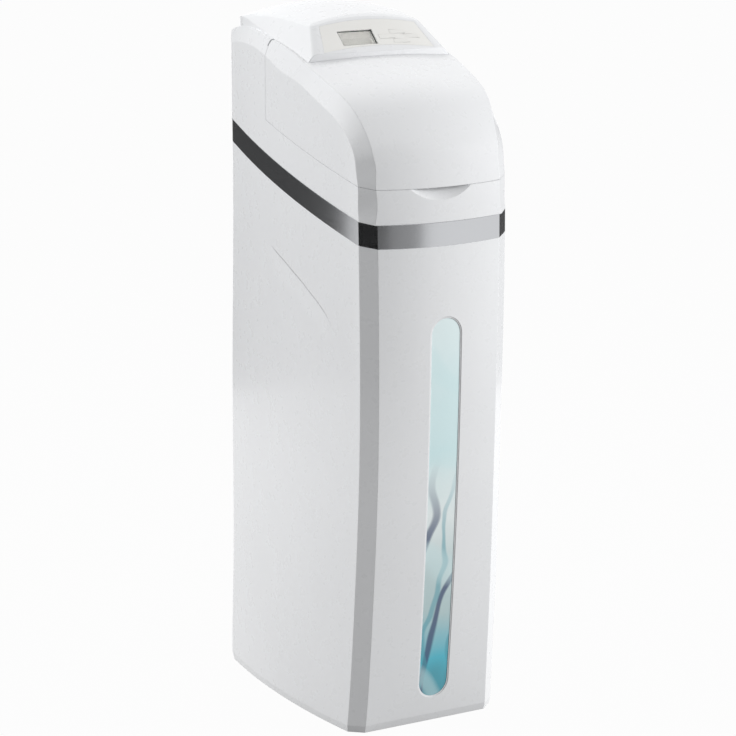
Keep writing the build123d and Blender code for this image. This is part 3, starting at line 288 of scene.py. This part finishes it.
# Course of the pressed crease on each side wall: where it runs, and its points as shares of that
CREASE_REAR = 0.034
CREASE_FRONT = -0.172
CREASE_LOW = 0.630
CREASE_HIGH = 0.750
CREASE_POINTS = (
    (0.0, 0.979), (0.024, 0.958), (0.320, 0.758), (0.607, 0.533), (0.854, 0.283), (0.971, 0.067), (1.0, 0.0))
CREASE_SIDE = 0.120
CREASE_DEPTH = 1.6 * MM
CREASE_STEP = 2.2 * MM
CREASE_EASE = 46 * MM
CREASE_REAR_FADE = 0.14
CREASE_FRONT_FADE = 0.80


def crease_height(material, along):
    """The height of the crease's upper edge at a place between its ends."""
    course = add(material, "ShaderNodeFloatCurve")
    curve = course.mapping.curves[0]
    curve.points[0].location = CREASE_POINTS[0]
    curve.points[1].location = CREASE_POINTS[-1]
    for point in CREASE_POINTS[1:-1]:
        curve.points.new(*point)
    course.mapping.update()
    link(material, along, course.inputs["Value"])
    return calculate(material, "MULTIPLY_ADD", course.outputs[0], CREASE_HIGH - CREASE_LOW, CREASE_LOW)


def pressed_crease(material, bump):
    """A thin step on both side walls: sharp at its upper edge, easing out below, fading at both ends."""
    x, y, z = object_axes(material)
    from_rear = calculate(material, "SUBTRACT", y, CREASE_REAR)
    along = calculate(material, "DIVIDE", from_rear, CREASE_FRONT - CREASE_REAR)
    below = calculate(material, "SUBTRACT", crease_height(material, along), z)
    press = product(
        material,
        smooth_step(material, below, 0.0, CREASE_STEP),
        smooth_step(material, below, CREASE_EASE, CREASE_STEP),
        smooth_step(material, along, 0.0, CREASE_REAR_FADE),
        smooth_step(material, along, 1.0, CREASE_FRONT_FADE),
        calculate(material, "GREATER_THAN", calculate(material, "ABSOLUTE", x), CREASE_SIDE),
    )
    return bump_of(material, bump, calculate(material, "SUBTRACT", 1.0, press), 1.0, CREASE_DEPTH)


class SOFTENER_OT_shells(bpy.types.Operator):
    """Finish the cabinet, cover and lid in glossy moulded white."""

    bl_idname = "softener.shells"
    bl_label = "Shells"

    def execute(self, context):
        white, shader = new_material("moulded white", colours().shell, SHELL_ROUGHNESS, coat=SHELL_COAT)
        tints = [tinted(colours().shell, factor) for factor in SHELL_TINTS]
        vary_colour(white, shader, noise_over(white, SHELL_TINT_SCALE), *tints)
        vary_roughness(white, shader, noise_over(white, GLOSS_SCALE), *SHELL_GLOSS)
        crease = pressed_crease(white, grain_bump(white, shader, GRAIN_SCALE, sizes().grain))
        soften_edges(white, crease, sizes().shell_edge)
        finish_nodes(white, "cabinet_body", "top_cover", "salt_lid")
        return {"FINISHED"}


BAND_ROUGHNESS = 0.17


class SOFTENER_OT_band(bpy.types.Operator):
    """Finish the trim band in bright metal."""

    bl_idname = "softener.band"
    bl_label = "Trim band"

    def execute(self, context):
        finish_nodes(brushed("band metal", colours().metal, BAND_ROUGHNESS), "trim_band")
        return {"FINISHED"}


# Front strip

PRINT_ROUGHNESS = 0.16
PRINT_COAT = 0.6
PRINT_GRAIN_SCALE = 700.0
PRINT_EDGE = 0.8 * MM
PRINT_FOG = (0.84, 0.91, 0.91)
PRINT_HEAD = (0.80, 0.92, 0.93)
PRINT_DRIFT_SCALE = 9.0
PRINT_DRIFT = 0.22

# Share of the strip's height above which the streaks are gone, and below which they are whole
STREAKS_END = 0.66
STREAKS_WHOLE = 0.40

# Streaks: tilt in degrees, scale, sway, where a streak begins and is whole on its wave, share
NAVY_STREAKS = (74, 3.6, 6.0, 0.90, 0.99, 0.85)
TEAL_STREAKS = (82, 5.0, 8.0, 0.86, 0.99, 0.60)
PALE_STREAKS = (-31, 2.3, 7.0, 0.80, 1.0, 0.45)


def streaks(material, tilt, scale, sway, start, end, share):
    """Thin bands on a slant that wander: their share on a band, nought between."""
    turn = add(material, "ShaderNodeMapping", Rotation=(0, math.radians(tilt), 0))
    wave = add(material, "ShaderNodeTexWave", wave_type="BANDS", bands_direction="Z", Scale=scale,
               Distortion=sway, Detail=2.0)
    wave.inputs["Detail Scale"].default_value = 1.2
    join(material, object_point(material), "Object", turn, "Vector")
    join(material, turn, "Vector", wave, "Vector")
    return product(material, smooth_step(material, wave.outputs["Fac"], start, end), share)


class SOFTENER_OT_strip(bpy.types.Operator):
    """Print the front strip with flowing aqua and teal bands."""

    bl_idname = "softener.strip"
    bl_label = "Front strip"

    def execute(self, context):
        low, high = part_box("front_strip")
        ink, shader = new_material("strip print", colours().teal, PRINT_ROUGHNESS, coat=PRINT_COAT)
        above = calculate(ink, "SUBTRACT", object_axes(ink)[2], low[2])
        height = calculate(ink, "DIVIDE", above, high[2] - low[2])
        aqua, teal, navy = (tuple(tone) for tone in (colours().aqua, colours().teal, colours().navy))
        tone = self.ground(ink, height, aqua, teal)
        low_part = smooth_step(ink, height, STREAKS_END, STREAKS_WHOLE)
        for row, colour in ((NAVY_STREAKS, navy), (TEAL_STREAKS, teal)):
            tone = lay_over(ink, product(ink, streaks(ink, *row), low_part), tone, colour)
        tone = lay_over(ink, streaks(ink, *PALE_STREAKS), tone, aqua)
        link(ink, tone, shader.inputs["Base Color"])
        soften_edges(ink, grain_bump(ink, shader, PRINT_GRAIN_SCALE, 0.5 * sizes().grain), PRINT_EDGE)
        finish_nodes(ink, "front_strip")
        return {"FINISHED"}

    def ground(self, ink, height, aqua, teal):
        """Deep at the foot, foggy in the middle and pale at the head, with borders that wander."""
        drift = noise_over(ink, PRINT_DRIFT_SCALE, 2.0)
        sway = calculate(ink, "MULTIPLY_ADD", drift.outputs["Fac"], PRINT_DRIFT, -PRINT_DRIFT / 2)
        ground = add(ink, "ShaderNodeValToRGB")
        link(ink, calculate(ink, "ADD", height, sway), ground.inputs["Fac"])
        ramp = ground.color_ramp
        ramp.elements[0].position = 0.0
        ramp.elements[0].color = (*tinted(teal, 0.8), 1)
        ramp.elements[1].position = 1.0
        ramp.elements[1].color = (*PRINT_HEAD, 1)
        for place, colour in (
                (0.10, tinted(teal, 1.5)), (0.26, tinted(aqua, 0.72)), (0.50, PRINT_FOG), (0.68, aqua)):
            stop = ramp.elements.new(place)
            stop.color = (*colour, 1)
        return ground.outputs["Color"]


# Controls

PANEL_ROUGHNESS = 0.35
PANEL_COAT = 0.2
DISPLAY_GREY = (0.95, 0.93, 0.90)
DISPLAY_ROUGHNESS = 0.4
WINDOW_TINT = (0.95, 0.96, 0.95)
WINDOW_ROUGHNESS = 0.05
WINDOW_BENDING = 1.3


class SOFTENER_OT_controls(bpy.types.Operator):
    """Finish the control panel, its buttons and the display."""

    bl_idname = "softener.controls"
    bl_label = "Controls"

    def execute(self, context):
        cream = moulded("panel cream", colours().panel, PANEL_ROUGHNESS, coat=PANEL_COAT)
        finish_nodes(cream, "control_panel", "button_left", "button_right", "button_up", "button_down")
        finish_nodes(moulded("display grey", DISPLAY_GREY, DISPLAY_ROUGHNESS), "display_module")
        clear, shader = new_material("clear window", WINDOW_TINT, WINDOW_ROUGHNESS)
        shader.inputs["Transmission Weight"].default_value = 1.0
        shader.inputs["IOR"].default_value = WINDOW_BENDING
        finish_nodes(clear, "display_lens")
        return {"FINISHED"}


# Works: name, colour, roughness and nodes of each finish

PLASTICS = (
    ("white tube", (0.78, 0.80, 0.80), 0.45, ("brine_well", "brine_well_cap", "salt_platform")),
    ("black plastic", (0.03, 0.03, 0.033), 0.45, (
        "vessel_boot", "valve_body", "valve_bonnet", "injector_cap", "bypass_body", "overflow_elbow",
        "overflow_nut", "power_jack")),
    ("grey plastic", (0.22, 0.23, 0.24), 0.45, (
        "riser_tube", "drain_fitting", "bypass_knob_outlet", "bypass_knob_inlet", "float_rod")),
    ("white nylon", (0.82, 0.82, 0.77), 0.4, (
        "lower_basket", "upper_basket", "valve_rotor", "drive_gear", "motor_pinion", "brine_fitting",
        "flow_turbine", "turbine_cage", "bypass_clips", "brine_valve", "float_stops", "brine_pickup",
        "brine_line")),
    ("board green", (0.03, 0.18, 0.08), 0.4, ("circuit_board",)),
    ("float blue", (0.05, 0.13, 0.40), 0.4, ("brine_float",)),
)
STEEL = ("plated steel", (0.60, 0.60, 0.62), 0.3)
STEEL_NODES = (
    "lid_hinge_pins", "cover_screws", "board_screws", "bonnet_screws", "motor_bridge", "drive_motor",
    "turbine_pin")
VESSEL = ("vessel shell", (0.62, 0.62, 0.55), 0.4)
VESSEL_COAT = 0.2
VESSEL_TINTS = (0.9, 1.06)
VESSEL_TINT_SCALE = 14.0
WINDING_TILT = 18
WINDING_SCALE = 60.0
WINDING_DEPTH = 0.3 * MM
RESIN = ("resin amber", (0.45, 0.22, 0.05), 0.35)
# Painted light and shade on the resin beads: lighter bead middles, darker gaps between beads
RESIN_LIT_MIDDLES_SHADED_GAPS = (1.3, 0.4)
BEAD_SCALE = 900.0
BEAD_DEPTH = 0.4 * MM


class SOFTENER_OT_works(bpy.types.Operator):
    """Finish what works inside the cabinet and behind it."""

    bl_idname = "softener.works"
    bl_label = "Works"

    def execute(self, context):
        for name, colour, roughness, nodes in PLASTICS:
            finish_nodes(moulded(name, colour, roughness), *nodes)
        finish_nodes(brushed(*STEEL), *STEEL_NODES)
        finish_nodes(self.wound(*VESSEL), "pressure_vessel")
        finish_nodes(self.beads(*RESIN), "resin_bed")
        return {"FINISHED"}

    def wound(self, name, colour, roughness):
        """Resin over crossed windings of glass fibre."""
        material, shader = new_material(name, colour, roughness, coat=VESSEL_COAT)
        tints = [tinted(colour, factor) for factor in VESSEL_TINTS]
        vary_colour(material, shader, noise_over(material, VESSEL_TINT_SCALE), *tints)
        heights = []
        for tilt in (WINDING_TILT, -WINDING_TILT):
            turn = add(material, "ShaderNodeMapping", Rotation=(math.radians(tilt), 0, 0))
            wave = add(material, "ShaderNodeTexWave", bands_direction="Z", Scale=WINDING_SCALE, Distortion=1.0)
            join(material, object_point(material), "Object", turn, "Vector")
            join(material, turn, "Vector", wave, "Vector")
            heights.append(wave.outputs["Fac"])
        bump_of(material, shader, calculate(material, "MAXIMUM", *heights), 0.5, WINDING_DEPTH)
        return material

    def beads(self, name, colour, roughness):
        """A bed of small round resin beads, painted lighter at each bead's middle and darker towards the gaps
        between beads, as painted light and shade.
        """
        material, shader = new_material(name, colour, roughness)
        cells = add(material, "ShaderNodeTexVoronoi", Scale=BEAD_SCALE)
        join(material, object_point(material), "Object", cells, "Vector")
        # Painted shade: the colour darkens from each bead's middle towards the gaps between beads
        tone = add(material, "ShaderNodeValToRGB")
        for stop, factor in zip(tone.color_ramp.elements, RESIN_LIT_MIDDLES_SHADED_GAPS):
            stop.color = (*tinted(colour, factor), 1)
        join(material, cells, "Distance", tone, "Fac")
        join(material, tone, "Color", shader, "Base Color")
        bump = bump_of(material, shader, cells.outputs["Distance"], 1.0, BEAD_DEPTH)
        bump.invert = True
        return material


# Stage

CAMERA_PLACE = Vector((-2.016413, -3.580463, 1.473245))
CAMERA_PITCH = math.radians(12.8828)
CAMERA_YAW = math.radians(29.6080)
CAMERA_LENS = 127.441
CAMERA_SENSOR = 36.0
CAMERA_REACH = 100.0

# Level of the even light on what isn't seen directly
SKY_LEVEL = 0.39
WHITE = (1, 1, 1, 1)
FLOOR_GREY = (0.22, 0.22, 0.22)
FLOOR_ROUGHNESS = 0.9
FLOOR_KEEP = 0.97
FLOOR_DROP = 0.5 * MM
SCREEN_FOOT = 2 * MM
SCREEN_HEAD = 2.4
SCREEN_STEPS = 24
LAMP_AIM = Vector((0, 0, 0.6))

# Screens: name, start and end in degrees round the object from the front, grey
SCREENS = (
    ("camera screen", -68, -38, 0.012),
    ("front screen", -38, 9, 0.12),
    ("blend screen", 9, 21, 0.36),
    ("rear screen", -182, -131, 0.075),
    ("right screen", 94, 128, 0.09),
)

# Lamps: name, degrees round the object from the front, height, distance, width, length, power
LAMPS = (
    ("left box", -112, 2.3, 2.9, 1.8, 1.8, 84),
    ("right box", 52, 1.3, 3.1, 1.8, 1.6, 90),
    ("rear box", 155, 2.9, 2.0, 1.8, 1.4, 34),
)


def round_place(degrees, distance, height):
    """A place round the object, 0 degrees being the front."""
    angle = math.radians(degrees)
    return Vector((distance * math.sin(angle), -distance * math.cos(angle), height))


def plain_mesh(name, mesh_of):
    """A new object at the origin from a bmesh that a function fills."""
    data = bpy.data.meshes.new(name)
    work = bmesh.new()
    mesh_of(work)
    work.to_mesh(data)
    work.free()
    piece = bpy.data.objects.new(name, data)
    bpy.context.scene.collection.objects.link(piece)
    return piece


def floor_mesh(work):
    bmesh.ops.create_grid(work, x_segments=1, y_segments=1, size=sizes().floor)
    bmesh.ops.translate(work, verts=work.verts, vec=(0, 0, -FLOOR_DROP))


def dark_screen(name, start, end, grey):
    """A curved screen round the object between two angles, which only reflections see."""
    def mesh_of(work):
        foot = work.verts.new(round_place(start, sizes().screen, SCREEN_FOOT))
        head = work.verts.new(round_place(start, sizes().screen, SCREEN_HEAD))
        edge = work.edges.new((foot, head))
        bmesh.ops.spin(work, geom=[foot, head, edge], cent=(0, 0, 0), axis=(0, 0, 1),
                       angle=math.radians(end - start), steps=SCREEN_STEPS, use_merge=False)

    screen = plain_mesh(name, mesh_of)
    material = bpy.data.materials.new(name)
    material.use_nodes = True
    glow = add(material, "ShaderNodeEmission", Color=(grey, grey, grey, 1))
    join(material, glow, 0, material.node_tree.nodes["Material Output"], 0)
    material.cycles.emission_sampling = "NONE"
    screen.data.materials.append(material)
    screen.visible_camera = False
    screen.visible_diffuse = False
    screen.visible_transmission = False
    screen.visible_volume_scatter = False
    screen.visible_shadow = False


def seen_directly(owner):
    """One where the camera, a reflection or a clear piece looks, nought where light only bounces."""
    paths = add(owner, "ShaderNodeLightPath")
    seen = calculate(owner, "MAXIMUM", paths.outputs["Is Camera Ray"], paths.outputs["Is Glossy Ray"])
    return calculate(owner, "MAXIMUM", seen, paths.outputs["Is Transmission Ray"])


def seen_white(name):
    """A white ground: the camera and reflections see it near white, and the shadow stays on it."""
    material, shader = new_material(name, FLOOR_GREY, FLOOR_ROUGHNESS)
    glow = add(material, "ShaderNodeEmission", Strength=1.0, Color=WHITE)
    mix = add(material, "ShaderNodeMixShader")
    link(material, product(material, seen_directly(material), FLOOR_KEEP), mix.inputs[0])
    join(material, shader, 0, mix, 1)
    join(material, glow, 0, mix, 2)
    join(material, mix, 0, material.node_tree.nodes["Material Output"], 0)
    material.cycles.emission_sampling = "NONE"
    return material


def white_world(name):
    """White where it is looked at, and a softer even light on the rest."""
    world = bpy.data.worlds.new(name)
    world.use_nodes = True
    world.cycles.sampling_method = "NONE"
    sky = world.node_tree.nodes["Background"]
    sky.inputs["Color"].default_value = WHITE
    strength = add(world, "ShaderNodeMapRange")
    strength.inputs["To Min"].default_value = SKY_LEVEL
    strength.inputs["To Max"].default_value = 1.0
    link(world, seen_directly(world), strength.inputs["Value"])
    link(world, strength.outputs[0], sky.inputs["Strength"])
    return world


def soft_lamp(name, degrees, height, distance, width, length, power):
    """A soft box that looks at the middle of the object, and that gloss doesn't mirror."""
    data = bpy.data.lights.new(name, "AREA")
    data.shape = "RECTANGLE"
    data.size = width
    data.size_y = length
    data.energy = power
    lamp = bpy.data.objects.new(name, data)
    bpy.context.scene.collection.objects.link(lamp)
    lamp.location = round_place(degrees, distance, height)
    lamp.rotation_euler = (LAMP_AIM - lamp.location).to_track_quat("-Z", "Y").to_euler()
    lamp.visible_glossy = False


def photo_camera(name):
    data = bpy.data.cameras.new(name)
    data.lens = CAMERA_LENS
    data.sensor_width = CAMERA_SENSOR
    data.clip_end = CAMERA_REACH
    camera = bpy.data.objects.new(name, data)
    bpy.context.scene.collection.objects.link(camera)
    camera.location = CAMERA_PLACE
    camera.rotation_euler = (math.pi / 2 - CAMERA_PITCH, 0, -CAMERA_YAW)
    return camera


class SOFTENER_OT_stage(bpy.types.Operator):
    """Set the floor, the lamps, the world and the camera."""

    bl_idname = "softener.stage"
    bl_label = "Stage"

    def execute(self, context):
        scene = context.scene
        floor = plain_mesh("studio_floor", floor_mesh)
        floor.data.materials.append(seen_white("studio white"))
        scene.world = white_world("studio world")
        for row in SCREENS:
            dark_screen(*row)
        for row in LAMPS:
            soft_lamp(*row)
        scene.camera = photo_camera("photo camera")
        scene.view_settings.view_transform = "Standard"
        return {"FINISHED"}


class SOFTENER_PT_panel(bpy.types.Panel):
    """Buttons for each group of pieces."""

    bl_label = "Water softener"
    bl_idname = "SOFTENER_PT_panel"
    bl_space_type = "VIEW_3D"
    bl_region_type = "UI"
    bl_category = "Softener"

    def draw(self, context):
        for operator in OPERATORS:
            self.layout.operator(operator.bl_idname)


OPERATORS = (
    SOFTENER_OT_shells,
    SOFTENER_OT_band,
    SOFTENER_OT_strip,
    SOFTENER_OT_controls,
    SOFTENER_OT_works,
    SOFTENER_OT_stage,
)
CLASSES = (SoftenerColours, SoftenerSizes, *OPERATORS, SOFTENER_PT_panel)


def register():
    for kind in CLASSES:
        bpy.utils.register_class(kind)
    bpy.types.Scene.softener_colours = PointerProperty(type=SoftenerColours)
    bpy.types.Scene.softener_sizes = PointerProperty(type=SoftenerSizes)


def unregister():
    del bpy.types.Scene.softener_sizes
    del bpy.types.Scene.softener_colours
    for kind in reversed(CLASSES):
        bpy.utils.unregister_class(kind)


def main():
    register()
    bpy.ops.softener.shells()
    bpy.ops.softener.band()
    bpy.ops.softener.strip()
    bpy.ops.softener.controls()
    bpy.ops.softener.works()
    bpy.ops.softener.stage()


if __name__ == "__main__":
    main()
